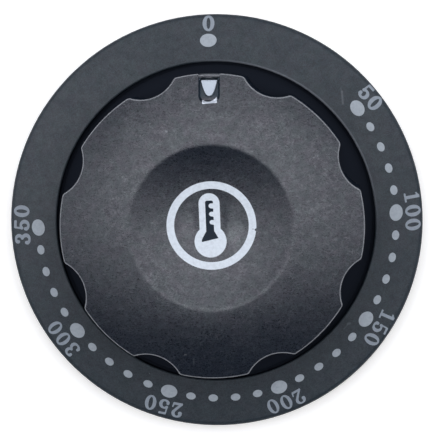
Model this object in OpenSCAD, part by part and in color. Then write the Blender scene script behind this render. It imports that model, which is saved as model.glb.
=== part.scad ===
// Oven control knob: a scalloped grip that turns in a fixed dial ring.
// Millimetres. The origin is the centre of the dial ring's back face, where it meets the panel.
// +Z is the axis of the knob, out of the panel, and +Y points to the zero mark of the dial.

/* [Dial ring] */
// Outside diameter of the dial ring
ring_d = 76; // [72:1:90]
// Height of the ring's face at its inner lip
ring_lip_h = 6.5; // [6:0.1:8]
// Slope of the ring's face, falling outwards, in degrees
ring_fall = 5; // [2:0.5:7]
// Radius of the ring's rounded outer edge
ring_edge_r = 0.9; // [0.5:0.1:1.4]
// Radius of the inner lip
ring_lip_r = 0.35; // [0.2:0.05:0.6]
// Wall of the ring moulding
ring_wall = 2; // [1.6:0.1:2.4]
// Height of the floor's underside above the panel
floor_low_h = 2.2; // [2:0.1:2.6]
// Thickness of the floor
floor_t = 2; // [1.6:0.1:2.4]
// Number of ribs behind the ring's face
ring_ribs = 24; // [8:4:36]
// Thickness of a rib in the ring or the grip
rib_t = 1.1; // [0.8:0.1:1.6]

/* [Grip] */
// Diameter over the lobes at the rim
grip_d = 54; // [50:0.5:56]
// Height of the rim above the panel
rim_h = 20.3; // [18:0.1:24]
// Draft of the outer wall, in degrees
draft = 1; // [0.5:0.25:1.5]
// Number of scallops
scallops = 8; // [6:1:10]
// Depth of a scallop at the rim
scallop_depth = 2.05; // [1.5:0.05:2.5]
// Radius of a scallop at the rim
scallop_r = 6.5; // [5:0.25:7.5]
// How much of each lobe's corner is rounded off, along its sides
corner_run = 0.5; // [0.3:0.05:0.7]
// Bevel of the rim, across the edge
rim_bevel = 0.2; // [0.1:0.05:0.3]
// Rise of that bevel
rim_bevel_h = 0.08; // [0.05:0.01:0.15]
// Wall of the grip moulding
grip_wall = 2; // [1.6:0.1:2.2]
// Radius of the crown's arc
crown_arc_r = 46; // [40:1:60]
// Slope of the crown where it meets the dish, in degrees
crown_start = 4; // [2:0.5:6]
// Diameter of the dish in the face
dish_d = 29; // [24:0.5:32]
// Radius of the dish's sphere
dish_arc_r = 46; // [38:1:60]
// Gap between the grip's wall and the well
well_gap = 2; // [1.5:0.1:2.5]
// Gap between the grip's lower edge and the floor
floor_gap = 0.6; // [0.4:0.1:1]
// Turn of the grip at rest, clockwise from the zero mark, in degrees
rest_turn = 1.45; // [0:0.05:5]

/* [Pointer] */
// Width of the pointer slot at the rim
slot_w = 3.8; // [3.2:0.1:4.6]
// Width of the slot at its inner end
slot_end_w = 2.7; // [2:0.1:3]
// Length of the slot from the rim
slot_l = 5.3; // [5:0.1:6.5]
// Depth of the slot below the crown
slot_depth = 1; // [0.7:0.1:1.2]
// Run of the slope at the slot's inner end
slot_ramp = 0.8; // [0.4:0.1:1]
// Depth of the notch in the wall below the slot
notch_t = 0.3; // [0.1:0.05:0.4]
// Length of the notch below the slot's floor
notch_l = 1.5; // [0.5:0.1:3]
// Width of the raised wedge at its outer end
wedge_w = 2.95; // [2:0.05:3]
// Radius of the wedge's tip
wedge_tip_r = 0.55; // [0.3:0.05:0.8]
// Length of the wedge
wedge_l = 2.85; // [2:0.05:3]
// Distance from the rim to the wedge
wedge_in = 1.15; // [0.6:0.05:1.3]
// How far the wedge's top lies below the crown
wedge_drop = 0.15; // [0:0.05:0.3]

/* [Hub and shaft] */
// Diameter of the shaft that the knob takes
shaft_d = 6; // [5:0.1:6.4]
// Thickness of the shaft across its flat
shaft_flat = 4.6; // [4.2:0.1:5]
// Radial play of the shaft in the bore's round mouth
mouth_play = 0.25; // [0.2:0.01:0.35]
// Radial play of the shaft in the flatted part of the bore
shaft_play = 0.02; // [0.01:0.01:0.03]
// Depth of the round mouth of the bore
mouth_l = 5; // [4:0.5:6]
// Full depth of the bore
bore_l = 15; // [13:0.5:16]
// Diameter of the hub where it turns in the collar
hub_d = 12; // [11.5:0.5:13]
// Radial play between the hub and the collar
hub_play = 0.05; // [0.02:0.01:0.08]
// Diameter of the hub's shoulder, above the collar
shoulder_d = 15; // [14.5:0.5:17]
// Height of the hub's end above the panel
hub_end_h = 0.6; // [0.4:0.1:0.8]
// Outside diameter of the collar
collar_d = 17; // [16:0.5:18]
// Height of the collar's top
collar_h = 9; // [8.5:0.1:10]
// Axial play of the grip
end_play = 0.1; // [0.05:0.05:0.15]

/* [Screws] */
// Distance between the two screw holes
screw_gap = 28; // [27:0.5:34]
// Diameter of a screw hole
screw_hole_d = 4.3; // [3.4:0.1:4.5]
// Width across the flats of a screw's head
screw_head_w = 7; // [5.5:0.1:8]
// Gap round that head in its seat
screw_head_gap = 0.1; // [0.05:0.05:0.2]
// Depth of the seat
screw_seat_t = 1.5; // [0.8:0.1:2]
// Diameter of the boss under a screw
boss_d = 9.5; // [9:0.1:11]

/* [Spring, snap ring and seals] */
// Thickness of the leaf spring
leaf_t = 0.3; // [0.2:0.05:0.4]
// Width of the leaf spring
leaf_w = 3.4; // [2.6:0.1:3.6]
// Length of the leaf spring
leaf_l = 9; // [7:0.5:9.5]
// How far the leaf bows towards the shaft
leaf_bow = 0.4; // [0.3:0.05:0.5]
// Thickness of the snap ring
snap_t = 0.8; // [0.6:0.1:0.9]
// Depth of its groove in the hub
snap_groove = 0.6; // [0.4:0.05:0.8]
// Width of the snap ring's band at its back
snap_band = 2; // [1.6:0.1:2.4]
// Half the opening of the snap ring, in degrees
snap_open = 16; // [12:1:20]
// Turn from there to the middle of an eye, in degrees
eye_step = 5.6; // [5:0.1:8]
// Radius of the eyes at the snap ring's ends
eye_r = 1.1; // [1:0.1:1.3]
// Diameter of the O-ring's section
seal_t = 1.1; // [0.9:0.05:1.3]
// Height of the O-ring above the panel
seal_h = 6.2; // [5.6:0.1:7]
// Thickness of the panel gasket
gasket_t = 1.4; // [1:0.1:1.8]
// Width of the panel gasket
gasket_w = 2.4; // [1.6:0.1:2.4]
// Gap between the gasket and the channel's outer wall
gasket_gap = 0.15; // [0.1:0.05:0.3]

/* [Hidden] */
$fn = 96;
// Overlap of a cut, a cut's reach past the surface, and the chamfers
eps = 0.01;
past = 1;
chamfer = 0.5;
fine_chamfer = 0.3;

// Heights and radii that follow from the sizes above
floor_h = floor_low_h + floor_t;
grip_low = floor_h + floor_gap;
grip_r = grip_d / 2;
skirt_r = grip_r + (rim_h - grip_low) * tan(draft);
well_r = skirt_r + well_gap;
ring_r = ring_d / 2;
ring_edge_h = ring_lip_h - (ring_r - well_r) * tan(ring_fall);
edge_cz = ring_edge_h - ring_edge_r * (1 / cos(ring_fall) - tan(ring_fall));
lip_cz = ring_lip_h - ring_lip_r * (1 / cos(ring_fall) + tan(ring_fall));
channel_in = well_r + ring_wall;
channel_out = ring_r - ring_wall;
channel_top = ring_edge_h - ring_wall;

// The crown is one arc from the dish to the rim, and the dish is a sphere
crown_x = dish_d / 2 - crown_arc_r * sin(crown_start);
crown_z = rim_h - sqrt(pow(crown_arc_r, 2) - pow(grip_r - crown_x, 2));
crest_h = crown_z + crown_arc_r * cos(crown_start);
dish_z = crest_h + sqrt(pow(dish_arc_r, 2) - pow(dish_d / 2, 2));

// A scallop's centre, and the angle at which it meets the lobes
scallop_c = grip_r - scallop_depth + scallop_r;
corner_a = acos((pow(scallop_c, 2) + pow(grip_r, 2) - pow(scallop_r, 2)) / (2 * scallop_c * grip_r));
corner_y = grip_r * sin(corner_a);
corner_x = grip_r * cos(corner_a);
// Direction of the scallop's side at that corner
side_a = atan2(scallop_c - corner_x, corner_y);
// The corner's round is an arc through a point on each side, a little flatter than a full fillet
corner_half = (90 + side_a - corner_a) / 2;
corner_flatter = 1.15;
corner_r = corner_flatter * corner_run * tan(corner_half);

// The hub, its bore and what sits on it
hub_r = hub_d / 2;
collar_r = hub_r + hub_play;
collar_out = collar_d / 2;
mouth_r = shaft_d / 2 + mouth_play;
bore_r = shaft_d / 2 + shaft_play;
flat_y = shaft_flat - shaft_d / 2;
mouth_top = hub_end_h + mouth_l;
bore_top = hub_end_h + bore_l;
shoulder_h = collar_h + end_play / 2;
snap_top = floor_low_h - end_play;
snap_r = hub_r - snap_groove;
eye_turn = snap_open + eye_step;
groove_play = 0.05;
seal_play = 0.03;
seal_out = collar_r - seal_play;
seal_c = seal_out - seal_t / 2;
leaf_press = 0.1;
leaf_back = flat_y + leaf_bow + leaf_t - leaf_press;
leaf_play = 0.2;
pocket_w = leaf_w + leaf_play;
pocket_top = mouth_top + leaf_l + 2 * leaf_play;

// Points of an arc in the profile plane
function arc(cx, cz, r, a0, a1, n = 8) =
    [for (i = [0:n]) let (a = a0 + (a1 - a0) * i / n) [cx + r * cos(a), cz + r * sin(a)]];

// The tapered cutter of one scallop, wider at the top by the draft. extra makes it fatter all round.
module scallop_cutter(extra = 0) {
    over = crest_h - rim_h + past;
    top_r = scallop_r + extra + over * tan(draft);
    low_r = scallop_r + extra - (rim_h - grip_low + eps) * tan(draft);
    translate([scallop_c, 0, grip_low - eps])
        cylinder(h = rim_h + over - grip_low + eps, r1 = low_r, r2 = top_r);
}

// Children at each scallop, which lie half a step from the pointer
module around_scallops() {
    for (i = [0:scallops - 1])
        rotate([0, 0, 90 + (i + 0.5) * 360 / scallops]) children();
}

// What is cut from one corner of a lobe: the tip beyond an arc
module corner_cutter() {
    reach = corner_run * cos(corner_half);
    chord = 2 * corner_run * sin(corner_half);
    back = sqrt(pow(corner_r, 2) - pow(chord / 2, 2));
    linear_extrude(height = rim_h)
        difference() {
            translate([-reach, -chord / 2]) square([reach + past, chord]);
            translate([-reach - back, 0]) circle(r = corner_r, $fn = 48);
        }
}

// Both corners of the scallop that lies along +X, leaning outwards with the wall
module scallop_corners() {
    for (s = [-1, 1])
        translate([corner_x, s * corner_y, rim_h])
            rotate([0, -draft, 0])
            rotate([0, 0, s * (corner_a - 90 + corner_half)])
            translate([0, 0, 2 * past - rim_h])
            corner_cutter();
}

// The cap before its scallops: tapered wall, bevelled rim and domed crown
module cap_outside() {
    rotate_extrude()
        intersection() {
            polygon([
                [0, grip_low], [skirt_r - fine_chamfer, grip_low], [skirt_r, grip_low + fine_chamfer],
                [grip_r, rim_h - rim_bevel], [grip_r - rim_bevel, rim_h + rim_bevel_h],
                [grip_r - 3 * rim_bevel, crest_h + past], [0, crest_h + past]
            ]);
            translate([crown_x, crown_z]) circle(r = crown_arc_r, $fn = 180);
        }
}

// The hollow under the face, one wall inside the outside
module cap_inside() {
    difference() {
        rotate_extrude()
            intersection() {
                polygon([
                    [0, grip_low - past], [skirt_r - grip_wall, grip_low - past],
                    [grip_r - grip_wall, rim_h], [0, crest_h]
                ]);
                translate([crown_x, crown_z]) circle(r = crown_arc_r - grip_wall, $fn = 180);
            }
        translate([0, 0, dish_z]) sphere(r = dish_arc_r + grip_wall, $fn = 180);
        around_scallops() scallop_cutter(grip_wall);
        translate([0, 0, shoulder_h]) cylinder(h = crest_h, d = shoulder_d);
        around_scallops()
            translate([0, -rib_t / 2, shoulder_h]) cube([grip_r, rib_t, crest_h]);
    }
}

// The crown lowered by drop, as a solid that reaches past the rim
module under_crown(drop) {
    rotate_extrude()
        intersection() {
            square([grip_r + 3 * past, crest_h + past]);
            translate([crown_x, crown_z]) circle(r = crown_arc_r - drop, $fn = 180);
        }
}

// Outline of the pointer slot, with a rounded inner end, out past the rim
module slot_outline() {
    half = slot_w / 2;
    foot_y = grip_r - slot_l + slot_ramp / 2;
    polygon(concat(
        [[-half, grip_r + 2 * past]],
        arc(0, foot_y + half, half, 180, 360, 16),
        [[half, grip_r + 2 * past]]
    ));
}

// Outline of the wedge that stands on the slot's floor, its tip towards the middle of the grip
module wedge_outline() {
    out_y = grip_r - wedge_in;
    tip_y = out_y - wedge_l + wedge_tip_r;
    polygon(concat(
        [[-wedge_w / 2, out_y]],
        arc(0, tip_y, wedge_tip_r, 205, 335, 10),
        [[wedge_w / 2, out_y]]
    ));
}

// The pointer's slot, less the wedge that stands in it, and the notch in the wall below
module pointer_cut() {
    low = rim_h - 3 * past;
    tall = crest_h - low + past;
    end_y = grip_r - slot_l;
    end_z = crown_z + sqrt(pow(crown_arc_r, 2) - pow(end_y - crown_x, 2));
    difference() {
        union() {
            translate([0, 0, low]) linear_extrude(height = tall) slot_outline();
            // Ramp from the face down to the floor at the inner end
            translate([-slot_end_w / 2, 0, 0])
                rotate([90, 0, 90])
                linear_extrude(height = slot_end_w)
                polygon([
                    [end_y, end_z], [end_y + slot_ramp, end_z - slot_depth - fine_chamfer],
                    [end_y + 2 * slot_ramp, end_z], [end_y + slot_ramp, end_z + past], [end_y, end_z + past]
                ]);
        }
        under_crown(slot_depth);
        intersection() {
            translate([0, 0, low]) linear_extrude(height = tall) wedge_outline();
            under_crown(wedge_drop);
        }
    }
    translate([-slot_w / 2, grip_r - notch_t, rim_h - slot_depth - notch_l])
        cube([slot_w, past, slot_depth + notch_l + past]);
}

// The bore for the shaft: round at its mouth, then flatted, with a pocket for the leaf spring
module shaft_bore() {
    translate([0, 0, hub_end_h - past]) cylinder(h = mouth_l + past, r = mouth_r);
    translate([0, 0, hub_end_h - eps]) cylinder(h = chamfer, r1 = mouth_r + chamfer, r2 = mouth_r - eps);
    difference() {
        translate([0, 0, mouth_top - past]) cylinder(h = bore_top - mouth_top + past, r = bore_r);
        translate([-shaft_d, -flat_y - shaft_d, mouth_top]) cube([2 * shaft_d, shaft_d, bore_l]);
    }
    translate([-pocket_w / 2, -leaf_back, mouth_top - past])
        cube([pocket_w, leaf_back, pocket_top - mouth_top + past]);
}

// What a groove takes from the hub: down to radius r, from height z over w
module groove(r, z, w) {
    translate([0, 0, z])
        difference() {
            cylinder(h = w, r = hub_r + past);
            translate([0, 0, -past]) cylinder(h = w + 2 * past, r = r);
        }
}

// The part of the hub that passes through the dial ring, with its two grooves
module hub_journal() {
    difference() {
        translate([0, 0, hub_end_h]) cylinder(h = shoulder_h - hub_end_h + past, r = hub_r);
        groove(snap_r, snap_top - snap_t - groove_play, snap_t + 2 * groove_play);
        groove(seal_c - seal_t / 2 - groove_play,
            seal_h - seal_t / 2 - groove_play, seal_t + 2 * groove_play);
    }
}

module grip() {
    color("#34373c")
        rotate([0, 0, -rest_turn])
        difference() {
            union() {
                difference() {
                    cap_outside();
                    cap_inside();
                }
                hub_journal();
            }
            translate([0, 0, dish_z]) sphere(r = dish_arc_r, $fn = 180);
            around_scallops() scallop_cutter();
            around_scallops() scallop_corners();
            pointer_cut();
            shaft_bore();
        }
}

// Half section of the dial ring, from its outer edge in to the collar
module ring_section() {
    polygon(concat(
        [[ring_r, 0]],
        arc(ring_r - ring_edge_r, edge_cz, ring_edge_r, 0, 90 - ring_fall, 10),
        arc(well_r + ring_lip_r, lip_cz, ring_lip_r, 90 - ring_fall, 180, 5),
        [
            [well_r, floor_h + chamfer], [well_r - chamfer, floor_h],
            [collar_out + chamfer, floor_h], [collar_out, floor_h + chamfer],
            [collar_out, collar_h - fine_chamfer], [collar_out - fine_chamfer, collar_h],
            [collar_r + fine_chamfer, collar_h], [collar_r, collar_h - fine_chamfer],
            [collar_r, floor_low_h],
            [well_r - fine_chamfer, floor_low_h], [well_r, floor_low_h - fine_chamfer], [well_r, 0],
            [channel_in, 0], [channel_in, channel_top + (channel_out - channel_in) * tan(ring_fall)],
            [channel_out - chamfer, channel_top], [channel_out, channel_top - chamfer], [channel_out, 0]
        ]
    ));
}

// One rib across the channel behind the face, down to the gasket
module ring_rib() {
    into = ring_wall / 4;
    translate([channel_in - into, -rib_t / 2, gasket_t])
        cube([channel_out - channel_in + 2 * into, rib_t, channel_top - gasket_t + into]);
}

// What one screw needs: a boss down to the panel
module screw_boss() {
    cylinder(h = floor_h - chamfer, d = boss_d);
}

// What one screw takes away: its hole, and a six-sided seat that keeps its head from turning
module screw_cut() {
    seat_w = screw_head_w + 2 * screw_head_gap;
    translate([0, 0, -past]) cylinder(h = floor_h + 2 * past, d = screw_hole_d);
    translate([0, 0, floor_h - screw_seat_t])
        cylinder(h = screw_seat_t + past, d = seat_w / cos(30), $fn = 6);
}

// Children at each screw
module at_screws() {
    for (s = [-1, 1]) translate([s * screw_gap / 2, 0, 0]) children();
}

module dial_ring() {
    color("#3c3f44")
        difference() {
            union() {
                rotate_extrude() ring_section();
                for (i = [0:ring_ribs - 1]) rotate([0, 0, i * 360 / ring_ribs]) ring_rib();
                at_screws() screw_boss();
            }
            at_screws() screw_cut();
        }
}

// A bowed leaf whose two ends stand on the pocket's back and whose middle presses on the flat
module shaft_spring() {
    bow_r = pow(leaf_l, 2) / (8 * leaf_bow) + leaf_bow / 2;
    color("#b9bdc2")
        rotate([0, 0, -rest_turn])
        translate([-leaf_w / 2, -leaf_back + eps, mouth_top + leaf_l / 2 + leaf_play])
        rotate([90, 0, 90])
        linear_extrude(height = leaf_w)
        intersection() {
            difference() {
                translate([leaf_bow + leaf_t - bow_r, 0]) circle(r = bow_r, $fn = 120);
                translate([leaf_bow - bow_r, 0]) circle(r = bow_r, $fn = 120);
            }
            translate([-past, -leaf_l / 2]) square([leaf_bow + leaf_t + 2 * past, leaf_l]);
        }
}

// A snap ring with a band that narrows towards its two eyes
module retaining_ring() {
    inner = snap_r + groove_play;
    taper = snap_band / 5;
    reach = snap_r + 3 * snap_band;
    side = reach * [sin(snap_open), cos(snap_open)];
    color("#9ba0a6")
        rotate([0, 0, -rest_turn])
        translate([0, 0, snap_top - snap_t])
        linear_extrude(height = snap_t)
        difference() {
            union() {
                difference() {
                    translate([0, -taper]) circle(r = inner + snap_band - taper);
                    circle(r = inner);
                    polygon([[0, 0], side, [-side[0], side[1]]]);
                }
                at_eyes() circle(r = eye_r, $fn = 48);
            }
            at_eyes() circle(r = eye_r / 2, $fn = 48);
        }
}

// Children at the middle of each eye
module at_eyes() {
    for (s = [-1, 1])
        rotate([0, 0, s * eye_turn]) translate([0, snap_r + 2 * groove_play + eye_r]) children();
}

module hub_seal() {
    color("#1d1e20")
        translate([0, 0, seal_h])
        rotate_extrude()
        translate([seal_c, 0]) circle(d = seal_t, $fn = 32);
}

module panel_gasket() {
    color("#26282b")
        rotate_extrude()
        translate([channel_out - gasket_gap - gasket_w, 0]) square([gasket_w, gasket_t]);
}

grip();
dial_ring();
shaft_spring();
retaining_ring();
hub_seal();
panel_gasket();
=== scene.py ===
import math

import bmesh
import bpy
from mathutils import Matrix, Vector
from mathutils.bvhtree import BVHTree


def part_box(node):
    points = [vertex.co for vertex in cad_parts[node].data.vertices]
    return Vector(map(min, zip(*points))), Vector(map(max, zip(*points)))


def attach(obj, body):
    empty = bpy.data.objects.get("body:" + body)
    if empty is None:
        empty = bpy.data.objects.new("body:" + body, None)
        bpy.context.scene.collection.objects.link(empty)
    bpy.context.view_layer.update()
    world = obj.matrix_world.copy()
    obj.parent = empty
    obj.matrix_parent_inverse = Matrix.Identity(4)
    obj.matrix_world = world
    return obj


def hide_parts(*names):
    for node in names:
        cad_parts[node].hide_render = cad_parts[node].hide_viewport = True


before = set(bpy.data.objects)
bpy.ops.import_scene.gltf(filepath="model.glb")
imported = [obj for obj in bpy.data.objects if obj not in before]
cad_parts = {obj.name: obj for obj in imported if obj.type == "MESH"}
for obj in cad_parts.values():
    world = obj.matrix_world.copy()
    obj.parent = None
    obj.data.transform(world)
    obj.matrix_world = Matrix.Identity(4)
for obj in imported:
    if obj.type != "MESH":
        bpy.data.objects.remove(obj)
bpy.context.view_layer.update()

# Oven control knob. Sizes are in millimetres and degrees, and follow the part's own source.
MM = 0.001

# The grip: lobes and scallops at the rim, and a drafted wall. Its hub reaches lower than the wall
GRIP_R = 27.0
HUB_PAST_WALL = 4.2
GRIP_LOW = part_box("grip")[0][2] / MM + HUB_PAST_WALL
RIM_H = 20.3
DRAFT = math.radians(1)
SCALLOPS = 8
SCALLOP_DEPTH, SCALLOP_R = 2.05, 6.5
SCALLOP_C = GRIP_R - SCALLOP_DEPTH + SCALLOP_R
CORNER_R = 0.9
RIM_ROUND = 0.28
REST_TURN = 1.45

# The grip's face: the crown is one arc from the dish to the rim, and the dish is a sphere
CROWN_R, CROWN_START = 46.0, math.radians(4)
DISH_R, DISH_REACH = 46.0, 14.5
CROWN_X = DISH_REACH - CROWN_R * math.sin(CROWN_START)
CROWN_Z = RIM_H - math.sqrt(CROWN_R**2 - (GRIP_R - CROWN_X) ** 2)
CREST_H = CROWN_Z + CROWN_R * math.cos(CROWN_START)
DISH_Z = CREST_H + math.sqrt(DISH_R**2 - DISH_REACH**2)
CREST_BLEND = 0.16

# The dial ring's face: a cone that falls outwards from the well to a rounded edge
RING_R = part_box("dial_ring")[1][0] / MM
WELL_GAP = 2.0
WELL_R = GRIP_R + (RIM_H - GRIP_LOW) * math.tan(DRAFT) + WELL_GAP
LIP_H = 6.5
RING_FALL = math.radians(5)
RING_EDGE_R = 0.9

# The pointer slot, in the grip's own frame, where the pointer looks along +Y: its floor runs out
# over a ramp at the inner end, and a groove and a low lip close it at the rim
SLOT_L, SLOT_HALF, SLOT_DEPTH = 5.3, 1.9, 0.8
SLOT_END_Y = GRIP_R - SLOT_L
SLOT_CORNER, SLOT_WALL, SLOT_RAMP = 1.5, 0.34, 0.5
SLOT_PAST_RIM = 3.0
GROOVE_DEPTH, GROOVE_LEAST = 1.5, 0.35
LIP_Y, LIP_DROP = 26.2, 0.12
NOTCH_T, NOTCH_LOW = 0.2, 17.8
# Over how far the edges of the groove's side, the steps along the slot, the wedge and the notch run
SIDE_RUN, STEP_RUN, WEDGE_RUN, NOTCH_SIDE_RUN, NOTCH_LOW_RUN = 0.2, 0.12, 0.16, 0.16, 0.4

# The raised wedge in the slot, and the white crescent on the slot's ramp
WEDGE_IN, WEDGE_L, WEDGE_HALF, WEDGE_DROP = 1.15, 2.85, 1.47, 0.15
WEDGE_OUT_Y = GRIP_R - WEDGE_IN
WEDGE_TIP_Y = WEDGE_OUT_Y - WEDGE_L
GROOVE_Y = WEDGE_OUT_Y - 0.04
WEDGE_TIP, WEDGE_BOW = 0.02, 0.42
CRESCENT_X, CRESCENT_TURN, CRESCENT_HALF = 0.08, -3.2, 1.3
CRESCENT_LOW, CRESCENT_TOP, CRESCENT_BOW, CRESCENT_TILT = 0.03, 0.35, 0.34, 0.13

# How finely the grip's skin is divided: points along each part of the outline, and rings. Points
# and rings lie closer at the pointer slot, its notch and the crest
LOBE_POINTS, CORNER_POINTS, SCALLOP_POINTS = 13, 6, 22
FINE_HALF, FINE_POINTS, FINE_SIDE_POINTS = math.radians(5.2), 66, 6
WALL_LEVELS = [GRIP_LOW, 8, 11, 14, 16, 17.2, 17.5, 17.7, 17.9, 18.1, 18.5]
RIM_STEPS = 6
SLOT_RINGS, SLOT_MARGIN = 64, 0.9
CROWN_RADII = [SLOT_END_Y - SLOT_MARGIN - 0.65 * i for i in range(1, 8)]
CREST_RADII = [16.1 - 0.2 * i for i in range(15)]
DISH_RADII = [13.0 - 0.8 * i for i in range(16)]
FACE_SLOT, RIM_SLOT, WALL_SLOT = 0, 1, 2
NO_INK = 1.0

# The printed scale
DOT_R, DIGIT_R = 32.95, 36.05
DIGIT_H = 2.85
DIGIT_PITCH, DIGIT_LEAN = 4.05, 0.8
SMALL_DOTS = 4
# Half sizes of the dots and of the boxes that hold each kind of print, and their grid
BIG_DOT, SMALL_DOT = (1.52, 1.2), (0.88, 0.66)
BIG_BOX, SMALL_BOX, DIGIT_BOX = (1.6, 1.3), (1.0, 0.8), (1.3, 1.6)
CELL, FINE_CELL = 0.1, 0.08
# Place of each number's dot clockwise from the top, the number, how far the number sits past its
# dot, the lean of its digits and of its dot, and how bold it is: the pad print is a little uneven
NUMBERS = [
    (0, 0, 0.25, 3, 0, 0.03),
    (54, 50, -0.05, -3.5, 4, 0.04),
    (90, 100, -0.33, -7, 9, 0.01),
    (126, 150, -0.05, -9, 4, 0.0),
    (162, 200, -0.41, -8, 1, -0.03),
    (198, 250, 0.33, -4, -4, 0.0),
    (234, 300, 0.63, 2.5, -6, -0.01),
    (270, 350, 0.94, 4, -8, 0.04),
]
# The whole print is a little turned and off centre. It lies just above the plastic, and its low
# side reaches into it
PRINT_TURN = -0.13
PRINT_SHIFT = (0.16, 0.24)
PRINT_LIFT, PRINT_SKIRT = 0.03, 0.05


# Small tools

def smooth(t):
    t = min(max(t, 0.0), 1.0)
    return t * t * (3 - 2 * t)


def passed(value, edge, run):
    """0 to 1 as value passes edge, over a run centred on it."""
    return smooth(0.5 + (value - edge) / run)


def lerp(a, b, t):
    return a + (b - a) * t


def turned(x, y, degrees):
    a = math.radians(degrees)
    return x * math.cos(a) - y * math.sin(a), x * math.sin(a) + y * math.cos(a)


def make_object(name, verts, faces, materials, face_slots=None):
    """A smooth-shaded mesh object from points in millimetres."""
    mesh = bpy.data.meshes.new(name)
    mesh.from_pydata([(x * MM, y * MM, z * MM) for x, y, z in verts], [], faces)
    for material in materials:
        mesh.materials.append(material)
    if face_slots:
        mesh.polygons.foreach_set("material_index", face_slots)
    mesh.shade_smooth()
    piece = bpy.data.objects.new(name, mesh)
    bpy.context.scene.collection.objects.link(piece)
    return piece


# Surfaces

def ring_height(r):
    """Height of the dial ring's face, with its rounded outer edge."""
    face = LIP_H - (r - WELL_R) * math.tan(RING_FALL)
    edge_x = RING_R - RING_EDGE_R
    edge_h = LIP_H - (RING_R - WELL_R) * math.tan(RING_FALL)
    edge_z = edge_h - RING_EDGE_R * (1 / math.cos(RING_FALL) - math.tan(RING_FALL))
    if r < edge_x + RING_EDGE_R * math.sin(RING_FALL):
        return face
    return edge_z + math.sqrt(max(RING_EDGE_R**2 - (r - edge_x) ** 2, 0))


def face_height(r):
    """Height of the grip's face without its slot: the crown's arc and the dish, blended at the crest."""
    crown = CROWN_Z + math.sqrt(CROWN_R**2 - (r - CROWN_X) ** 2)
    dish = DISH_Z - math.sqrt(DISH_R**2 - r * r)
    near = max(CREST_BLEND - abs(crown - dish), 0) / CREST_BLEND
    return min(crown, dish) - near * near * CREST_BLEND / 4


def rounded_box(x, y, x0, x1, y0, y1, r):
    """Signed distance to a rectangle with rounded corners, negative inside."""
    qx = abs(x - (x0 + x1) / 2) - ((x1 - x0) / 2 - r)
    qy = abs(y - (y0 + y1) / 2) - ((y1 - y0) / 2 - r)
    return math.hypot(max(qx, 0), max(qy, 0)) + min(max(qx, qy), 0) - r


def slot_distance(x, y):
    return rounded_box(x, y, -SLOT_HALF, SLOT_HALF, SLOT_END_Y, GRIP_R + SLOT_PAST_RIM, SLOT_CORNER)


def wedge_distance(x, y):
    """Signed distance to the wedge, whose sides bow out from its round tip to its straight outer end."""
    up = y - WEDGE_TIP_Y
    if up <= WEDGE_TIP:
        return math.hypot(x, up - WEDGE_TIP)
    half = WEDGE_HALF * (up / WEDGE_L) ** WEDGE_BOW
    side = (abs(x) - half) / math.hypot(1, WEDGE_BOW * half / up)
    return max(side, y - WEDGE_OUT_Y)


def crescent_distance(x, y):
    """Signed distance to the white crescent."""
    x, y = turned(x - CRESCENT_X, y - SLOT_END_Y, CRESCENT_TURN)
    top = CRESCENT_TOP + CRESCENT_BOW * x * x + CRESCENT_TILT * x
    return max(y - top, CRESCENT_LOW - y, abs(x) - CRESCENT_HALF)


def slot_depth(x, y):
    """How far the slot goes below the face here."""
    inside = -slot_distance(x, y)
    if inside <= 0:
        return 0.0
    wall = smooth(inside / SLOT_WALL)
    depth = min(SLOT_DEPTH * wall, SLOT_DEPTH * max(y - SLOT_END_Y, 0) / SLOT_RAMP)
    groove = max(GROOVE_DEPTH * passed(WEDGE_HALF, abs(x), SIDE_RUN), GROOVE_LEAST)
    depth = lerp(depth, groove, passed(y, GROOVE_Y, STEP_RUN))
    depth = lerp(depth, min(LIP_DROP, depth), passed(y, LIP_Y, STEP_RUN))
    depth = min(depth, GROOVE_DEPTH * wall)
    return lerp(depth, WEDGE_DROP, passed(0, wedge_distance(x, y), WEDGE_RUN))


def slot_share(x, y):
    """1 low in the slot, 0 on the face, the lip and the wedge."""
    low = smooth(-slot_distance(x, y) / 0.15) * smooth((y - SLOT_END_Y - 0.6) / 0.9)
    return low * smooth(wedge_distance(x, y) / 0.1) if y < LIP_Y else 0.0


def grip_height(x, y):
    return face_height(math.hypot(x, y)) - slot_depth(x, y)


def notch(x, y, z):
    """How far the wall is set in below the pointer slot."""
    if y < 0:
        return 0.0
    across = passed(SLOT_HALF, abs(x), NOTCH_SIDE_RUN)
    return NOTCH_T * across * passed(z, NOTCH_LOW, NOTCH_LOW_RUN)


# The grip

def corner_angle(a, b, c):
    """The angle between the sides a and b of a triangle, opposite c."""
    return math.acos((a * a + b * b - c * c) / (2 * a * b))


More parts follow.
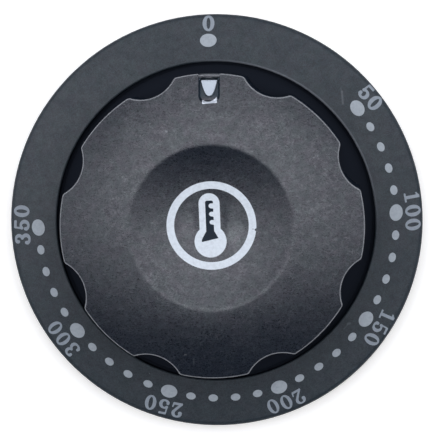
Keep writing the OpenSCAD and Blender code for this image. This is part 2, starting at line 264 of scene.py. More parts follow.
def rim_outline():
    """Points of the rim with their outward normals, anticlockwise from a corner beside the pointer."""
    lobe_reach, scallop_reach = GRIP_R - CORNER_R, SCALLOP_R + CORNER_R
    # A corner's centre as seen from the axis and from the scallop's centre
    side = corner_angle(lobe_reach, SCALLOP_C, scallop_reach)
    swing = corner_angle(scallop_reach, SCALLOP_C, lobe_reach)
    step = 2 * math.pi / SCALLOPS
    points = []

    def arc(reach, toward, r, start, end, count, outward=1):
        """An arc of radius r, without its last point, about a centre at reach from the axis."""
        cx, cy = reach * math.cos(toward), reach * math.sin(toward)
        for i in range(count):
            a = lerp(start, end, i / count)
            ux, uy = math.cos(a), math.sin(a)
            points.append((cx + r * ux, cy + r * uy, outward * ux, outward * uy))

    for k in range(SCALLOPS):
        middle = math.pi / 2 + k * step
        cut = middle + step / 2
        start, end = middle - step / 2 + side, cut - side
        if k == 0:
            fine_start, fine_end = middle - FINE_HALF, middle + FINE_HALF
            arc(0, 0, GRIP_R, start, fine_start, FINE_SIDE_POINTS)
            arc(0, 0, GRIP_R, fine_start, fine_end, FINE_POINTS)
            arc(0, 0, GRIP_R, fine_end, end, FINE_SIDE_POINTS)
        else:
            arc(0, 0, GRIP_R, start, end, LOBE_POINTS)
        back = cut + math.pi
        arc(lobe_reach, cut - side, CORNER_R, cut - side, cut + swing, CORNER_POINTS)
        arc(SCALLOP_C, cut, SCALLOP_R, back + swing, back - swing, SCALLOP_POINTS, outward=-1)
        arc(lobe_reach, cut + side, CORNER_R, cut - swing, cut + side, CORNER_POINTS)
    return points


def wall_ring(outline, z):
    """The drafted wall at height z."""
    ring = []
    for x, y, nx, ny in outline:
        grow = (RIM_H - z) * math.tan(DRAFT) - notch(x, y, z)
        ring.append((x + nx * grow, y + ny * grow, z))
    return ring


def rim_rings(outline):
    """Rings over the round between wall and face, which meets the face's slope at each point."""
    probe, steepest = 0.1, math.radians(35)
    seats = []
    for x, y, nx, ny in outline:
        inset = notch(x, y, RIM_H) + RIM_ROUND
        cx, cy = x - nx * inset, y - ny * inset
        h = grip_height(cx, cy)
        slope = math.atan((grip_height(cx - nx * probe, cy - ny * probe) - h) / probe)
        slope = min(max(slope, 0.0), steepest)
        seats.append((cx, cy, h - RIM_ROUND / math.cos(slope), nx, ny, slope))
    rings = []
    for i in range(RIM_STEPS + 1):
        ring = []
        for cx, cy, cz, nx, ny, slope in seats:
            tilt = lerp(math.pi / 2 - DRAFT, slope, i / RIM_STEPS)
            out = RIM_ROUND * math.sin(tilt)
            ring.append((cx + nx * out, cy + ny * out, cz + RIM_ROUND * math.cos(tilt)))
        rings.append(ring)
    return rings


def face_rings(start):
    """Rings over the face, from its edge at start to near the middle."""
    reach = [math.hypot(x, y) for x, y, z in start]
    bearing = [(x / r, y / r) for (x, y, z), r in zip(start, reach)]
    slot_in = SLOT_END_Y - SLOT_MARGIN
    rings = []
    for i in range(1, SLOT_RINGS + 1):
        ring = []
        for r, (ux, uy) in zip(reach, bearing):
            here = lerp(r, slot_in, i / SLOT_RINGS)
            ring.append((ux * here, uy * here, grip_height(ux * here, uy * here)))
        rings.append(ring)
    for r in CROWN_RADII + CREST_RADII + DISH_RADII:
        rings.append([(ux * r, uy * r, face_height(r)) for ux, uy in bearing])
    return rings


def grip_skin():
    """Vertices, faces and slots of the grip's outside, from the foot of the wall to the middle."""
    outline = rim_outline()
    wall = [wall_ring(outline, z) for z in WALL_LEVELS]
    rim = rim_rings(outline)
    face = face_rings(rim[-1])
    rings = wall + rim + face
    slots = [WALL_SLOT] * len(wall) + [RIM_SLOT] * RIM_STEPS + [FACE_SLOT] * (1 + len(face))

    verts = [p for ring in rings for p in ring]
    middle = len(verts)
    verts.append((0, 0, face_height(0)))
    count = len(outline)
    faces, face_slots = [], []
    for k, slot in enumerate(slots):
        for i in range(count):
            here, after = k * count + i, k * count + (i + 1) % count
            if k < len(rings) - 1:
                faces.append((here, after, after + count, here + count))
            else:
                faces.append((here, after, middle))
            face_slots.append(slot)
    return verts, faces, face_slots


def cad_inside():
    """The CAD grip without the faces that its new skin replaces: those that see straight up."""
    inside = bmesh.new()
    inside.from_mesh(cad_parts["grip"].data)
    bmesh.ops.remove_doubles(inside, verts=inside.verts, dist=1e-6)
    inside.normal_update()
    tree = BVHTree.FromBMesh(inside)
    up = Vector((0, 0, 1))
    outer = [
        f
        for f in inside.faces
        if tree.ray_cast(f.calc_center_median() + f.normal * 0.02 * MM, up)[0] is None
    ]
    bmesh.ops.delete(inside, geom=outer, context="FACES")
    return inside


def add_inside(piece):
    """Joins the CAD grip's inside to its skin."""
    joined = bmesh.new()
    joined.from_mesh(piece.data)
    distance = joined.verts.layers.float["ink_distance"]
    inside = cad_inside()
    made = {}
    for v in inside.verts:
        made[v] = joined.verts.new(v.co)
        made[v][distance] = NO_INK
    for f in inside.faces:
        joined.faces.new([made[v] for v in f.verts]).smooth = True
    joined.to_mesh(piece.data)
    inside.free()
    joined.free()


def store(piece, name, values):
    """Keeps a number for each vertex, which a material can read."""
    piece.data.attributes.new(name, "FLOAT", "POINT").data.foreach_set("value", values)


def store_pointer(piece, verts):
    """The signed distance to the pointer's white fill, and the share of the slot's low floor."""
    distances, shares = [], []
    for x, y, z in verts:
        near = y > SLOT_END_Y - SLOT_MARGIN and abs(x) < 2 * SLOT_HALF and z > WALL_LEVELS[-1]
        distances.append(min(wedge_distance(x, y), crescent_distance(x, y)) if near else NO_INK)
        shares.append(slot_share(x, y) if near else 0.0)
    store(piece, "ink_distance", distances)
    store(piece, "slot_share", shares)


def build_grip(materials):
    verts, faces, face_slots = grip_skin()
    piece = make_object("grip_moulding", verts, faces, materials, face_slots)
    piece.data.transform(Matrix.Rotation(math.radians(-REST_TURN), 4, "Z"))
    store_pointer(piece, verts)
    add_inside(piece)
    piece.data.set_sharp_from_angle(angle=math.radians(50))
    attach(piece, "grip_body")
    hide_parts("grip")


# Prints

def field(distance, box, cell):
    """Points and faces of the part of box where distance is negative, cut out of a square grid."""
    x0, y0, x1, y1 = box
    nx, ny = math.ceil((x1 - x0) / cell), math.ceil((y1 - y0) / cell)
    value = {
        (i, j): distance(x0 + i * cell, y0 + j * cell) for i in range(nx + 1) for j in range(ny + 1)
    }
    points, index, faces = [], {}, []

    def vertex(key, i, j):
        if key not in index:
            index[key] = len(points)
            points.append((x0 + i * cell, y0 + j * cell))
        return index[key]

    for i in range(nx):
        for j in range(ny):
            ring = [(i, j), (i + 1, j), (i + 1, j + 1), (i, j + 1)]
            corners = []
            for a, b in zip(ring, ring[1:] + ring[:1]):
                if value[a] < 0:
                    corners.append(vertex(a, *a))
                if (value[a] < 0) != (value[b] < 0):
                    t = value[a] / (value[a] - value[b])
                    key = (min(a, b), max(a, b))
                    corners.append(vertex(key, lerp(a[0], b[0], t), lerp(a[1], b[1], t)))
            if len(corners) > 2:
                faces.append(tuple(corners))
    return points, faces


def stamp(name, distance, box, cell, place, material, body):
    """A thin printed field, laid on a surface by place, with a low side all round that ties it down."""
    points, faces = field(distance, box, cell)
    verts = [place(x, y, PRINT_LIFT) for x, y in points]
    edges = {(a, b): True for f in faces for a, b in zip(f, f[1:] + f[:1])}
    foot = {}
    for a, b in edges:
        if (b, a) in edges:
            continue
        for p in (a, b):
            if p not in foot:
                foot[p] = len(verts)
                verts.append(place(*points[p], PRINT_LIFT - PRINT_SKIRT))
        faces.append((b, a, foot[a], foot[b]))
    piece = make_object(name, verts, faces, [material])
    piece.data.set_sharp_from_angle(angle=math.radians(40))
    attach(piece, body)


def on_ring(clockwise, radius, lean=0.0):
    """Places a flat drawing on the ring's face: x clockwise, y outwards, about a point of the scale."""
    def place(x, y, lift):
        x, y = turned(x, y, -lean)
        x, y = turned(x, y + radius, -clockwise - PRINT_TURN)
        x, y = x + PRINT_SHIFT[0], y + PRINT_SHIFT[1]
        return x, y, ring_height(math.hypot(x, y)) + lift
    return place


def on_dish(turn, side, up):
    """Places a flat drawing on the grip's face, turned and moved about its middle."""
    def place(x, y, lift):
        x, y = turned(x + side, y + up, turn - REST_TURN)
        return x, y, face_height(math.hypot(x, y)) + lift
    return place


def ellipse(x, y, cx, cy, a, b):
    """Near enough a signed distance to an ellipse."""
    u, v = (x - cx) / a, (y - cy) / b
    k = math.hypot(u, v)
    g = math.hypot(u / a, v / b)
    return k * (k - 1) / g if g > 1e-9 else -min(a, b)


def segment(x, y, x0, y0, x1, y1, r0, r1):
    """Distance to a straight stroke whose half width runs from r0 to r1."""
    dx, dy = x1 - x0, y1 - y0
    t = min(max(((x - x0) * dx + (y - y0) * dy) / (dx * dx + dy * dy), 0.0), 1.0)
    return math.hypot(x - x0 - dx * t, y - y0 - dy * t) - lerp(r0, r1, t)


def curve(x, y, points):
    """Distance to a stroke through (x, y, half width) points."""
    return min(
        segment(x, y, a[0], a[1], b[0], b[1], a[2], b[2]) for a, b in zip(points, points[1:])
    )


def bowl(cx, cy, a, b, start, end, thick, thin, count=14):
    """Points of an elliptical stroke, thick where it runs upright and thin where it lies flat."""
    points = []
    for i in range(count + 1):
        t = math.radians(lerp(start, end, i / count))
        w = lerp(thin, thick, abs(math.cos(t)) ** 1.5)
        points.append((cx + a * math.cos(t), cy + b * math.sin(t), w))
    return points


# The digits' own drawing, in units of their height: a bold, narrow face with thin flats and slab feet
def digit_0(x, y):
    return max(ellipse(x, y, 0, 0, 0.37, 0.5), -ellipse(x, y, 0, 0, 0.135, 0.375))


def digit_1(x, y):
    stem = rounded_box(x, y, -0.10, 0.10, -0.48, 0.48, 0.02)
    foot = rounded_box(x, y, -0.29, 0.29, -0.49, -0.38, 0.03)
    flag = segment(x, y, -0.21, 0.30, 0.0, 0.43, 0.045, 0.06)
    return min(stem, foot, flag)


BOWL_2 = bowl(-0.01, 0.215, 0.24, 0.225, 165, -45, 0.105, 0.06)
TAIL_2 = [BOWL_2[-1], (0.02, -0.12, 0.085), (-0.20, -0.36, 0.07)]


def digit_2(x, y):
    base = rounded_box(x, y, -0.31, 0.31, -0.49, -0.33, 0.03)
    tip = segment(x, y, 0.27, -0.40, 0.32, -0.19, 0.06, 0.045)
    ball = math.hypot(x + 0.22, y - 0.20) - 0.13
    return min(curve(x, y, BOWL_2), curve(x, y, TAIL_2), base, tip, ball)


UPPER_3 = bowl(-0.03, 0.235, 0.22, 0.205, 150, -80, 0.10, 0.06)
LOWER_3 = bowl(-0.03, -0.215, 0.26, 0.235, 80, -150, 0.11, 0.06)


def digit_3(x, y):
    balls = min(math.hypot(x + 0.21, y - 0.28), math.hypot(x + 0.24, y + 0.27)) - 0.10
    return min(curve(x, y, UPPER_3), curve(x, y, LOWER_3), balls)


BOWL_5 = bowl(-0.02, -0.19, 0.25, 0.255, 135, -150, 0.11, 0.06)


def digit_5(x, y):
    bar = rounded_box(x, y, -0.20, 0.27, 0.35, 0.49, 0.02)
    stem = segment(x, y, -0.18, 0.42, -0.21, -0.02, 0.045, 0.05)
    ball = math.hypot(x + 0.23, y + 0.26) - 0.10
    return min(curve(x, y, BOWL_5), bar, stem, ball)


DIGITS = {"0": digit_0, "1": digit_1, "2": digit_2, "3": digit_3, "5": digit_5}


def print_on_dial(name, draw, half, cell, place, material):
    box = (-half[0], -half[1], half[0], half[1])
    stamp(name, draw, box, cell, place, material, "dial")


def print_scale(ink_dots, ink_digits):
    """A large dot and a number at each mark of the scale, and small dots between them."""
    def dot(a, b):
        return lambda x, y: ellipse(x, y, 0, 0, a, b)

    for clockwise, number, past, lean, dot_lean, bold in NUMBERS:
        place = on_ring(clockwise, DOT_R, dot_lean)
        print_on_dial(f"dot_{number}", dot(*BIG_DOT), BIG_BOX, CELL, place, ink_dots)
        text = str(number)
        for k, c in enumerate(text):
            shift = (k - (len(text) - 1) / 2) * DIGIT_PITCH
            place = on_ring(clockwise + past + shift, DIGIT_R, lean - DIGIT_LEAN * shift)

            def draw(x, y):
                return DIGITS[c](x / DIGIT_H, y / DIGIT_H) * DIGIT_H - bold

            print_on_dial(f"digit_{number}_{k}", draw, DIGIT_BOX, FINE_CELL, place, ink_digits)
    for (first, number, *_), (last, *_) in zip(NUMBERS[1:], NUMBERS[2:]):
        for k in range(1, SMALL_DOTS + 1):
            place = on_ring(lerp(first, last, k / (SMALL_DOTS + 1)), DOT_R)
            print_on_dial(f"tick_{number}_{k}", dot(*SMALL_DOT), SMALL_BOX, FINE_CELL, place, ink_dots)


# The picture in the dish: a thermometer in a circle. Each has its turn, and its shift to the side
# and up, and the box that holds it
CIRCLE_PLACE, CIRCLE_BOX = (0.8, 0.0, 0.25), (-8, -8, 8, 8)
THERMOMETER_PLACE, THERMOMETER_BOX = (1.3, -0.28, 0.2), (-3.2, -6.0, 3.2, 6.0)
ICON_OUT, ICON_IN, ICON_FLAT = 7.92, 6.58, 0.985
ICON_CHIPS = [(7.78, -0.95, 0.2), (7.3, -0.82, 0.1), (7.9, -2.0, 0.12)]
STEM_HALF, STEM_TOP, STEM_LOW = 1.85, 5.75, -3.0
BULB_Y, BULB_R = -2.78, 2.83
TUBE_HALF, TUBE_TOP, TUBE_FOOT, TUBE_ROUND = 0.7, 4.45, -1.2, 0.3
FLARE_HALF, FLARE_START, FLARE_RUN = 1.55, -0.95, 1.5
FLARE_TOP, FLARE_LOW, FLARE_TILT = -1.0, -2.54, 0.2
STEPS, STEP_TOP, STEP_PITCH, STEP_HALF = 3, 3.5, 1.45, 0.44
TUBE_GAP = 0.015


def icon_circle(x, y):
    r = math.hypot(x, y / ICON_FLAT)
    chips = min(math.hypot(x - cx, y - cy) - size for cx, cy, size in ICON_CHIPS)
    return max(r - ICON_OUT, ICON_IN - r, -chips)


def icon_tube(x, y):
    """The dark column inside the thermometer, with its three steps."""
    tube = rounded_box(x, y, -TUBE_HALF, TUBE_HALF, TUBE_FOOT, TUBE_TOP, TUBE_ROUND)
    half = lerp(TUBE_HALF, FLARE_HALF, min(max((FLARE_START - y) / FLARE_RUN, 0), 1))
    flare = max(abs(x) - half, y - FLARE_TOP, FLARE_LOW + FLARE_TILT * x - y)
    hollow = min(tube, flare)
    for k in range(STEPS):
        up = STEP_TOP - STEP_PITCH * k
        inner_half = STEP_HALF - 0.03 * k
        tick = segment(x, y, 0.34, up, TUBE_HALF + 0.4, up - 0.1, inner_half, STEP_HALF)
        hollow = max(hollow, -tick)
    return hollow


def icon_column(x, y):
    """The dark fill, a little smaller than the hollow in the white."""
    return icon_tube(x, y) + TUBE_GAP


def icon_thermometer(x, y):
    stem = rounded_box(x, y, -STEM_HALF, STEM_HALF, STEM_LOW, STEM_TOP, STEM_HALF - 0.02)
    body = min(stem, math.hypot(x, y - BULB_Y) - BULB_R)
    return max(body, -icon_tube(x, y))


def print_icon(pale, dark):
    circle_place, tall_place = on_dish(*CIRCLE_PLACE), on_dish(*THERMOMETER_PLACE)
    for name, draw, box, place, material in (
        ("icon_circle", icon_circle, CIRCLE_BOX, circle_place, pale),
        ("icon_thermometer", icon_thermometer, THERMOMETER_BOX, tall_place, pale),
        ("icon_tube", icon_column, THERMOMETER_BOX, tall_place, dark),
    ):
        stamp(name, draw, box, CELL, place, material, "grip_body")


# Tools for materials

def add(tree, kind, inputs=None, **settings):
    node = tree.nodes.new(kind)
    for key, value in settings.items():
        setattr(node, key, value)
    for key, value in (inputs or {}).items():
        put(tree, value, node.inputs[key])
    return node


def put(tree, value, socket):
    """Links a socket's value to an input, or sets it to a constant."""
    if isinstance(value, bpy.types.NodeSocket):
        tree.links.new(value, socket)
    else:
        socket.default_value = value


def maths(tree, operation, a, b=0.0):
    return add(tree, "ShaderNodeMath", {0: a, 1: b}, operation=operation).outputs[0]


def product(tree, a, b):
    return maths(tree, "MULTIPLY", a, b)


def vector(tree, operation, a, b=(0, 0, 0)):
    """A sum with vectors, which gives a vector or, for a length, distance or dot product, a number."""
    node = add(tree, "ShaderNodeVectorMath", {0: a, 1: b}, operation=operation)
    number = operation in ("LENGTH", "DISTANCE", "DOT_PRODUCT")
    return node.outputs["Value" if number else "Vector"]


def remap(tree, value, low, high, to_low=0, to_high=1):
    limits = {"Value": value, "From Min": low, "From Max": high, "To Min": to_low, "To Max": to_high}
    return add(tree, "ShaderNodeMapRange", limits).outputs["Result"]


def mix(tree, share, a, b):
    """A colour mix. a and b are colours or sockets."""
    node = add(tree, "ShaderNodeMix", {"Factor": share}, data_type="RGBA")
    for name, value in (("A", a), ("B", b)):
        socket = [s for s in node.inputs if s.name == name and s.type == "RGBA"][0]
        put(tree, (*value, 1) if isinstance(value, tuple) else value, socket)
    return [s for s in node.outputs if s.type == "RGBA"][0]


def place_of(tree):
    """Where a point is, in the piece's own coordinates."""
    return add(tree, "ShaderNodeTexCoord").outputs["Object"]


def flat_place(tree):
    """The same as seen from above, with no height."""
    return vector(tree, "MULTIPLY", place_of(tree), (1, 1, 0))


def axis_of(tree, name):
    return add(tree, "ShaderNodeSeparateXYZ", {"Vector": place_of(tree)}).outputs[name]


def stored(tree, name):
    return add(tree, "ShaderNodeAttribute", attribute_name=name).outputs["Fac"]


def scaled(colour, factor):
    return tuple(c * factor for c in colour)


def noise(tree, size_mm, detail=3.0, rough=0.55, twist=0.0, stretch=(1, 1, 1)):
    """Noise in the piece's own coordinates, with features about size_mm across."""
    drawn = add(tree, "ShaderNodeMapping", {"Vector": place_of(tree), "Scale": stretch})
    settings = {
        "Vector": drawn.outputs["Vector"], "Scale": 1 / (size_mm * MM),
        "Detail": detail, "Roughness": rough, "Distortion": twist,
    }
    return add(tree, "ShaderNodeTexNoise", settings).outputs["Fac"]


def specks(tree, size_mm, share, radius):
    """1 in sparse round specks, else 0."""
    cells = add(tree, "ShaderNodeTexVoronoi", {"Vector": place_of(tree), "Scale": 1 / (size_mm * MM)})
    split = add(tree, "ShaderNodeSeparateColor", {"Color": cells.outputs["Color"]})
    near = remap(tree, cells.outputs["Distance"], radius, radius * 0.6)
    return product(tree, near, remap(tree, split.outputs["Red"], share, share * 0.9))


def ridges(tree, size_mm, half):
    """1 along fine winding lines, in patches, else 0."""
    away = maths(tree, "SUBTRACT", noise(tree, size_mm, detail=1.0, twist=0.8), 0.5)
    line = remap(tree, maths(tree, "ABSOLUTE", away), half, half * 0.2)
    return product(tree, line, remap(tree, noise(tree, 6.0), 0.42, 0.58, 0.25, 1))


def scratch(tree, x0, y0, x1, y1, half):
    """1 along a thin straight mark from (x0, y0) to (x1, y1), seen from above, else 0."""
    start, along = Vector((x0, y0, 0)) * MM, Vector((x1 - x0, y1 - y0, 0)) * MM
    away = vector(tree, "SUBTRACT", flat_place(tree), start)
    share = remap(tree, vector(tree, "DOT_PRODUCT", away, along), 0, along.length_squared)
    gap = vector(tree, "DISTANCE", away, vector(tree, "MULTIPLY", along, share))
    return remap(tree, gap, half * MM, half * 0.3 * MM)


def patch(tree, x, y, half_x, half_y):
    """1 in the middle of a soft oval about (x, y), seen from above, falling to 0 at its edge."""
    away = vector(tree, "SUBTRACT", place_of(tree), (x * MM, y * MM, 0))
    away = vector(tree, "MULTIPLY", away, (1 / (half_x * MM), 1 / (half_y * MM), 0))
    return remap(tree, vector(tree, "LENGTH", away), 1, 0.3)


def bump(tree, shader, height, depth_mm):
    node = add(tree, "ShaderNodeBump", {"Height": height, "Strength": 1.0, "Distance": depth_mm * MM})
    tree.links.new(node.outputs["Normal"], shader.inputs["Normal"])


class Look:
    """A material in the making: layers change its colour and its shine one after another."""

    def __init__(self, name):
        self.material = bpy.data.materials.new(name)
        self.material.use_nodes = True
        self.tree = self.material.node_tree
        self.shader = self.tree.nodes["Principled BSDF"]
        self.shade, self.shine = None, 0.5

    def paint(self, share, colour, most=1.0):
        """Mixes in colour where share is 1, in at most this proportion."""
        self.shade = mix(self.tree, product(self.tree, share, most), self.shade, colour)

    def polish(self, share, factor):
        """Multiplies the shine by factor where share is 1."""
        self.shine = product(self.tree, self.shine, remap(self.tree, share, 0, 1, 1, factor))

    def rough(self, value):
        put(self.tree, value, self.shader.inputs["Roughness"])

    def finish(self):
        put(self.tree, self.shade, self.shader.inputs["Base Color"])
        put(self.tree, self.shine, self.shader.inputs["Specular IOR Level"])
        return self.material


# Materials

GRIP_COLOUR, WALL_COLOUR = (0.006, 0.009, 0.015), (0.010, 0.014, 0.021)
# The rim's pale colour is partly a burnished edge and partly a painted highlight where its round catches
# light
RIM_WEAR_AND_HIGHLIGHT = (0.175, 0.181, 0.191)
# The well's colour is painted shade for the gap between grip and ring
RING_COLOUR, WELL_SHADE_COLOUR = (0.014, 0.021, 0.027), (0.014, 0.017, 0.024)
# The lip's colour is a painted highlight along the ring's inner edge
# The slot's colour is painted shade for the slot's recessed floor
SLOT_SHADE_COLOUR, LIP_HIGHLIGHT_COLOUR = (0.022, 0.034, 0.046), (0.17, 0.18, 0.20)
DUST_COLOUR, RUBBED_COLOUR = (0.30, 0.31, 0.33), (0.34, 0.36, 0.38)
GREEN_TINT, VIOLET_TINT = (0.95, 1.0, 0.99), (1.0, 0.96, 1.0)
INK_WEDGE, INK_CRESCENT = (0.44, 0.49, 0.55), (0.68, 0.72, 0.78)
INK_ICON, INK_TUBE = (0.64, 0.69, 0.735), (0.006, 0.013, 0.022)
INK_DOTS, INK_DIGITS = (0.335, 0.37, 0.40), (0.245, 0.277, 0.312)
SPRING_STEEL, SNAP_STEEL = (0.62, 0.63, 0.65), (0.50, 0.51, 0.53)
SEAL_RUBBER, GASKET_RUBBER = (0.020, 0.020, 0.022), (0.035, 0.036, 0.040)
ROLLED_LINES = (9000, 9000, 900)

# Wear that the photo shows, each from (x, y) to (x, y) in millimetres from above, with its half
# width and paleness
GRIP_MARKS = [
    (-0.88, 21.17, -1.22, 20.60, 0.10, 0.12),
    (-1.22, 20.60, -2.02, 20.56, 0.10, 0.12),
    (-7.20, 17.16, -7.05, 17.10, 0.24, 0.30),
    (-5.65, -22.40, -5.45, -22.42, 0.20, 0.16),
    (-4.13, -23.16, -4.18, -24.27, 0.12, 0.09),
]
RING_MARKS = [
    (23.88, 23.48, 24.06, 22.82, 0.22, 0.05),
    (24.06, 22.82, 24.16, 20.60, 0.26, 0.13),
    (23.86, -19.72, 23.55, -19.80, 0.32, 0.11),
    (23.40, -20.00, 22.69, -20.72, 0.22, 0.05),
]

# Uneven gloss: soft ovals (x, y, half width, half height) in millimetres from above, with the
# change of shine
GRIP_SHEEN = [
    (4.3, -1.5, 2.0, 3.4, 1.6),
    (-4.4, -0.6, 1.9, 3.6, 1.3),
    (2.5, 1.8, 0.9, 3.4, 0.55),
    (-2.6, 1.4, 0.8, 3.4, 0.75),
    (1.6, 5.2, 3.6, 1.6, 0.75),
]
RING_SHEEN = [(-40, 14, 34, 40, 1.3)]

# The wedge's ink takes over from the crescent's between these two places
INK_CHANGE_Y = (22.55, 22.85)
# The well's painted shade reaches down to here, inside the floor
WELL_FOOT = 3.4
# The ring's inner lip has a painted highlight, a thin pale line: how far past the well the line
# is full and where it ends, the part of its length that is full and where it ends, as shares of
# the well's radius, its direction clockwise from the top, and how pale it is
LIP_LINE, LIP_LENGTH = (0.25, 0.45), (0.95, 0.62)
LIP_TOWARD, LIP_HIGHLIGHT_SHARE = math.radians(45), 0.7


def moulded(name, colour, rough, grain_mm, grain_depth, specular=0.5, mottle=0.35, stretch=(1, 1, 1)):
    """Moulded black plastic: fine worm-like grain and uneven gloss, ready for more layers."""
    look = Look(name)
    tree = look.tree
    fine = noise(tree, grain_mm, detail=2.0, rough=0.7, twist=2.2, stretch=stretch)
    look.shade = mix(tree, remap(tree, fine, 0.35, 0.65), scaled(colour, 0.6), scaled(colour, 1.5))
    fine_gloss = remap(tree, fine, 0.3, 0.7, rough - 0.05, rough + 0.05)
    broad_gloss = remap(tree, noise(tree, 5.0), 0.3, 0.7, -0.02, 0.02)
    look.rough(maths(tree, "ADD", fine_gloss, broad_gloss))
    shine = remap(tree, fine, 0.38, 0.69, specular * (1 - 0.8 * mottle), specular * (1 + 1.3 * mottle))
    cloud = remap(tree, noise(tree, 1.4, detail=2.0), 0.35, 0.65, 0.88, 1.12)
    look.shine = product(tree, shine, cloud)
    patches = remap(tree, noise(tree, 2.2, detail=2.0, twist=1.0), 0.35, 0.65)
    put(tree, mix(tree, patches, GREEN_TINT, VIOLET_TINT), look.shader.inputs["Specular Tint"])
    bump(tree, look.shader, fine, grain_depth)
    return look


def add_dust(look, share):
    """Large faint specks and small fainter ones."""
    look.paint(specks(look.tree, 1.5, share, 0.05), DUST_COLOUR, 0.4)
    look.paint(specks(look.tree, 0.8, share * 0.6, 0.07), DUST_COLOUR, 0.16)


def add_marks(look, marks):
    for x0, y0, x1, y1, half, pale in marks:
        look.paint(scratch(look.tree, x0, y0, x1, y1, half), RUBBED_COLOUR, pale)


def add_sheen(look, ovals):
    for x, y, half_x, half_y, factor in ovals:
        look.polish(patch(look.tree, x, y, half_x, half_y), factor)


def add_pointer(look):
    """The white fill of wedge and crescent, and painted shade on the slot's floor: a paler, bluer colour
    with much less shine.
    """
    tree = look.tree
    start, end = INK_CHANGE_Y
    outer = remap(tree, axis_of(tree, "Y"), start * MM, end * MM)
    filled = remap(tree, stored(tree, "ink_distance"), 0.03, -0.03)
    look.paint(filled, mix(tree, outer, INK_CRESCENT, INK_WEDGE))
    # Painted shade in the slot's recess: a bluer colour and less shine on its low floor
    slot_shade = stored(tree, "slot_share")
    look.paint(slot_shade, SLOT_SHADE_COLOUR)
    look.polish(slot_shade, 0.4)


def add_worn_lip(look):
    """A painted highlight: a thin pale line along the inner lip of the dial ring, at the upper right."""
    tree = look.tree
    flat = flat_place(tree)
    full, none = [(WELL_R + past) * MM for past in LIP_LINE]
    near = remap(tree, vector(tree, "LENGTH", flat), none, full)
    toward = vector(tree, "DOT_PRODUCT", flat, (math.sin(LIP_TOWARD), math.cos(LIP_TOWARD), 0))
    full, none = [share * WELL_R * MM for share in LIP_LENGTH]
    look.paint(product(tree, near, remap(tree, toward, none, full)), LIP_HIGHLIGHT_COLOUR, LIP_HIGHLIGHT_SHARE)


def add_well(look):
    """Painted shade in the well that the grip turns in: a flat dark colour and no shine."""
    tree = look.tree
    reach = vector(tree, "LENGTH", flat_place(tree))
    within = remap(tree, reach, (WELL_R + 0.06) * MM, WELL_R * MM)
    above = remap(tree, axis_of(tree, "Z"), (WELL_FOOT - 0.1) * MM, WELL_FOOT * MM)
    inside = maths(tree, "MINIMUM", within, above)
    look.paint(inside, WELL_SHADE_COLOUR)
    look.polish(inside, 0)


def grip_plastic():
    look = moulded(
        "grip_plastic_skin", GRIP_COLOUR, 0.30, 0.50, 0.03,
        specular=0.57, mottle=0.32, stretch=(0.8, 1.3, 1),
    )
    look.polish(ridges(look.tree, 1.0, 0.04), 1.45)
    add_dust(look, 0.28)
    add_marks(look, GRIP_MARKS)
    add_sheen(look, GRIP_SHEEN)
    add_pointer(look)
    return look.finish()


# The rounded rim is coloured far paler than the face: partly a burnished edge, partly a painted
# highlight
def rim_plastic():
    return moulded("rim_plastic", RIM_WEAR_AND_HIGHLIGHT, 0.40, 0.30, 0.004, mottle=0.1).finish()


def wall_plastic():
    """The wall's plastic loses its shine where it is seen edge on."""
    look = moulded("wall_plastic", WALL_COLOUR, 0.36, 0.50, 0.03)
    facing = add(look.tree, "ShaderNodeLayerWeight", {"Blend": 0.5}).outputs["Facing"]
    look.polish(remap(look.tree, facing, 0.45, 0.85), 0)
    return look.finish()


def ring_plastic():
    look = moulded("ring_plastic_skin", RING_COLOUR, 0.52, 0.5, 0.012, specular=0.39, mottle=0.08)
    add_dust(look, 0.06)
    add_marks(look, RING_MARKS)
    add_sheen(look, RING_SHEEN)
    add_worn_lip(look)
    add_well(look)
    return look.finish()


def ink(name, colour, rough=0.5, specular=0.35):
    """Screen print: nearly even, with slightly uneven cover."""
    look = Look(name)
    cover = noise(look.tree, 0.5)
    look.shade = mix(look.tree, remap(look.tree, cover, 0.3, 0.6), scaled(colour, 0.86), colour)
    look.rough(remap(look.tree, cover, 0.3, 0.7, rough - 0.05, rough + 0.05))
    look.shine = specular
    bump(look.tree, look.shader, cover, 0.004)
    return look.finish()


def rubber(name, colour):
    look = Look(name)
    fine = noise(look.tree, 0.25)
    look.shade = mix(look.tree, fine, scaled(colour, 0.7), colour)
    look.rough(remap(look.tree, fine, 0.3, 0.7, 0.7, 0.85))
    bump(look.tree, look.shader, fine, 0.01)
    return look.finish()


def steel(name, colour):
    """Rolled spring steel, with fine lines along the strip."""
    look = Look(name)
    tree = look.tree
    drawn = add(tree, "ShaderNodeMapping", {"Vector": place_of(tree), "Scale": ROLLED_LINES})
    rolled = {"Vector": drawn.outputs["Vector"], "Scale": 1.0, "Detail": 2.0}
    lines = add(tree, "ShaderNodeTexNoise", rolled).outputs["Fac"]
    look.shade = mix(tree, lines, scaled(colour, 0.75), colour)
    look.rough(remap(tree, lines, 0.3, 0.7, 0.24, 0.42))
    look.shader.inputs["Metallic"].default_value = 1.0
    bump(tree, look.shader, lines, 0.003)
    return look.finish()


def dress_node(name, material):
    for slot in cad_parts[name].material_slots:
        slot.material = material


# Stage

# The floor is a white sheet, and lifts itself to plain white where the camera sees it
FLOOR_REACH = 1200
FLOOR_WHITES = (0.93, 0.93, 0.93), (0.95, 0.95, 0.95)
FLOOR_GLOW, FLOOR_GLOW_COLOUR = 0.30, (1.0, 0.95, 0.82, 1)


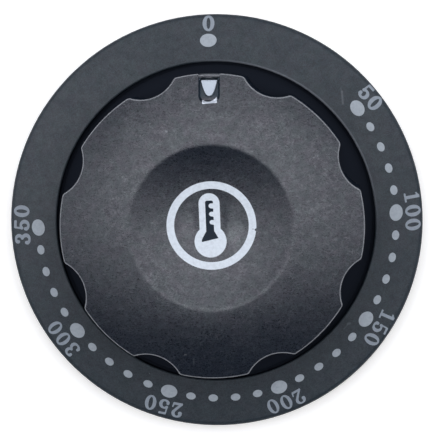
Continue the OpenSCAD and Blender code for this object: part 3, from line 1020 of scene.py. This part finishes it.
def build_floor():
    corners = [(-1, -1), (1, -1), (1, 1), (-1, 1)]
    verts = [(x * FLOOR_REACH, y * FLOOR_REACH, 0) for x, y in corners]
    look = Look("pale_floor")
    look.shade = mix(look.tree, noise(look.tree, 3.0), *FLOOR_WHITES)
    look.rough(0.9)
    look.shine = 0.0
    camera_ray = add(look.tree, "ShaderNodeLightPath").outputs["Is Camera Ray"]
    look.shader.inputs["Emission Color"].default_value = FLOOR_GLOW_COLOUR
    put(look.tree, product(look.tree, camera_ray, FLOOR_GLOW), look.shader.inputs["Emission Strength"])
    make_object("floor", verts, [(0, 1, 2, 3)], [look.finish()])


# Soft boxes level above the knob: sides west, east, south, north in metres, and radiance
LIGHT_H = 0.62
SOFT_BOXES = {
    "main_west": (-0.95, -0.25, -0.12, 0.25, 1.9),
    "main_middle": (-0.25, 0.25, -0.12, 0.25, 2.95),
    "main_east": (0.25, 0.95, -0.12, 0.25, 2.15),
    "north_west": (-0.95, -0.25, 0.25, 0.95, 0.6),
    "north_middle": (-0.25, 0.25, 0.25, 0.95, 1.8),
    "north_east": (0.25, 0.95, 0.25, 0.95, 0.9),
    "south_west": (-0.95, -0.25, -0.30, -0.12, 0.75),
    "south_east": (0.25, 0.95, -0.30, -0.12, 1.4),
}
LIGHT_COLOUR = (0.97, 0.99, 1.06)
# The fill light's strength near the horizon and overhead, and the backdrop's for the camera
FILL_COLOUR = (0.80, 0.86, 1.0, 1)
FILL_LOW, FILL_HIGH = 0.45, 0.08
BACKDROP = 0.95


def build_lights():
    for name, (west, east, south, north, radiance) in SOFT_BOXES.items():
        lamp = bpy.data.lights.new(name, "AREA")
        lamp.shape = "RECTANGLE"
        lamp.size, lamp.size_y = east - west, north - south
        lamp.energy = math.pi * lamp.size * lamp.size_y * radiance
        lamp.color = LIGHT_COLOUR
        box = bpy.data.objects.new(name, lamp)
        box.location = ((west + east) / 2, (south + north) / 2, LIGHT_H)
        bpy.context.scene.collection.objects.link(box)


def build_world():
    """Faint fill light, stronger near the horizon, and a white backdrop for the camera."""
    world = bpy.data.worlds.new("studio")
    world.use_nodes = True
    tree = world.node_tree
    toward = add(tree, "ShaderNodeTexCoord").outputs["Generated"]
    height = add(tree, "ShaderNodeSeparateXYZ", {"Vector": toward}).outputs["Z"]
    fill = tree.nodes["Background"]
    fill.inputs["Color"].default_value = FILL_COLOUR
    put(tree, remap(tree, height, 0.05, 0.5, FILL_LOW, FILL_HIGH), fill.inputs["Strength"])
    seen = add(tree, "ShaderNodeBackground", {"Color": (1, 1, 1, 1), "Strength": BACKDROP})
    camera_ray = add(tree, "ShaderNodeLightPath").outputs["Is Camera Ray"]
    either = add(tree, "ShaderNodeMixShader", {0: camera_ray, 1: fill.outputs[0], 2: seen.outputs[0]})
    tree.links.new(either.outputs[0], tree.nodes["World Output"].inputs["Surface"])
    bpy.context.scene.world = world


# The camera: its distance from the ring's face, its lean off the axis, the side that it leans to
# and its turn about the axis. The photo shows the axis at AIM_H in the pixel RING_PX
CAMERA_AWAY = 359.0
CAMERA_LEAN = math.radians(4.6)
CAMERA_SIDE = (0.628, 0.778)
CAMERA_TURN = math.radians(2.45)
SCALE_MM_PX = 0.1843
IMAGE_W, IMAGE_H = 435, 440
RING_PX = (215.86, 221.07)
AIM_H = 5.2
SENSOR_W = 36


def build_camera():
    side = Vector(CAMERA_SIDE) * math.sin(CAMERA_LEAN)
    out = Vector((side.x, side.y, math.cos(CAMERA_LEAN))).normalized()
    up = Vector((math.sin(CAMERA_TURN), math.cos(CAMERA_TURN), 0))
    right = up.cross(out).normalized()
    up = out.cross(right)
    aim = Vector((0, 0, AIM_H))
    aim += right * (IMAGE_W / 2 - RING_PX[0]) * SCALE_MM_PX
    aim -= up * (IMAGE_H / 2 - RING_PX[1]) * SCALE_MM_PX
    lens = bpy.data.cameras.new("camera")
    lens.sensor_fit = "HORIZONTAL"
    lens.sensor_width = SENSOR_W
    lens.lens = SENSOR_W * CAMERA_AWAY / (SCALE_MM_PX * IMAGE_W)
    lens.clip_start, lens.clip_end = 0.01, 10
    camera = bpy.data.objects.new("camera", lens)
    pose = Matrix((right, up, out)).transposed().to_4x4()
    pose.translation = (aim + out * CAMERA_AWAY) * MM
    camera.matrix_world = pose
    bpy.context.scene.collection.objects.link(camera)
    bpy.context.scene.camera = camera


def main():
    build_camera()
    build_lights()
    build_world()
    build_floor()
    build_grip([grip_plastic(), rim_plastic(), wall_plastic()])
    print_icon(ink("ink_icon", INK_ICON), ink("ink_tube", INK_TUBE, specular=0.15))
    print_scale(ink("ink_dots", INK_DOTS), ink("ink_digits", INK_DIGITS))
    dress_node("dial_ring", ring_plastic())
    dress_node("shaft_spring", steel("spring_steel_skin", SPRING_STEEL))
    dress_node("retaining_ring", steel("snap_steel_skin", SNAP_STEEL))
    dress_node("hub_seal", rubber("seal_rubber_skin", SEAL_RUBBER))
    dress_node("panel_gasket", rubber("gasket_rubber_skin", GASKET_RUBBER))
    bpy.context.scene.view_settings.view_transform = "Standard"


main()
